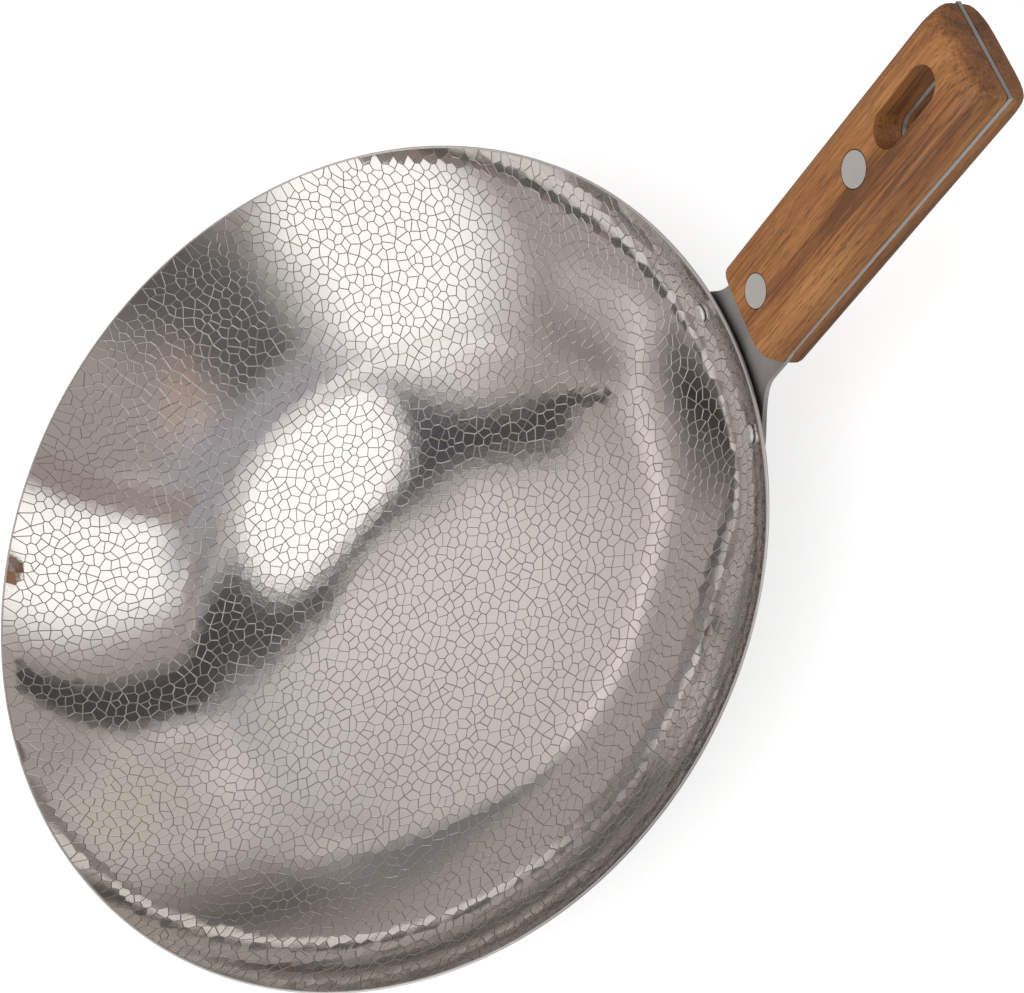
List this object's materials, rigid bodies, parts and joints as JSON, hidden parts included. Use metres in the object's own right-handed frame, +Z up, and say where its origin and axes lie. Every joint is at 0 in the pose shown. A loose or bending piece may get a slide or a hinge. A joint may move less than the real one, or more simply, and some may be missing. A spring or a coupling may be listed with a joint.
{
  "type": "frying pan",
  "caption": "Round frying pan: a thin flared steel shell, a riveted bracket that runs on as the handle's tang, and wooden scales with a hanging slot.",
  "frame": {"origin": "centre of the flat base's underside, where the pan rests", "axes": "+X from the pan's middle towards the handle, +Z up out of the open top, +Y to the left of someone who looks from the pan along the handle"},
  "size_m": [0.3807, 0.28, 0.1368],
  "materials": {
    "pan_steel": "bright stainless steel with a pressed crackle texture",
    "plate_steel": "smooth dark satin",
    "rivet_steel": "pale satin",
    "wood": "oiled hardwood, warm mid brown, grain along the handle"
  },
  "bodies": {
    "root": {"pan_body": "pan_steel", "handle_plate": "plate_steel", "upper_scale": "wood", "lower_scale": "wood", "left_wall_rivet": "rivet_steel", "right_wall_rivet": "rivet_steel", "front_rivet_barrel": "rivet_steel", "front_rivet_pin": "rivet_steel", "rear_rivet_barrel": "rivet_steel", "rear_rivet_pin": "rivet_steel"}
  },
  "joints": []
}
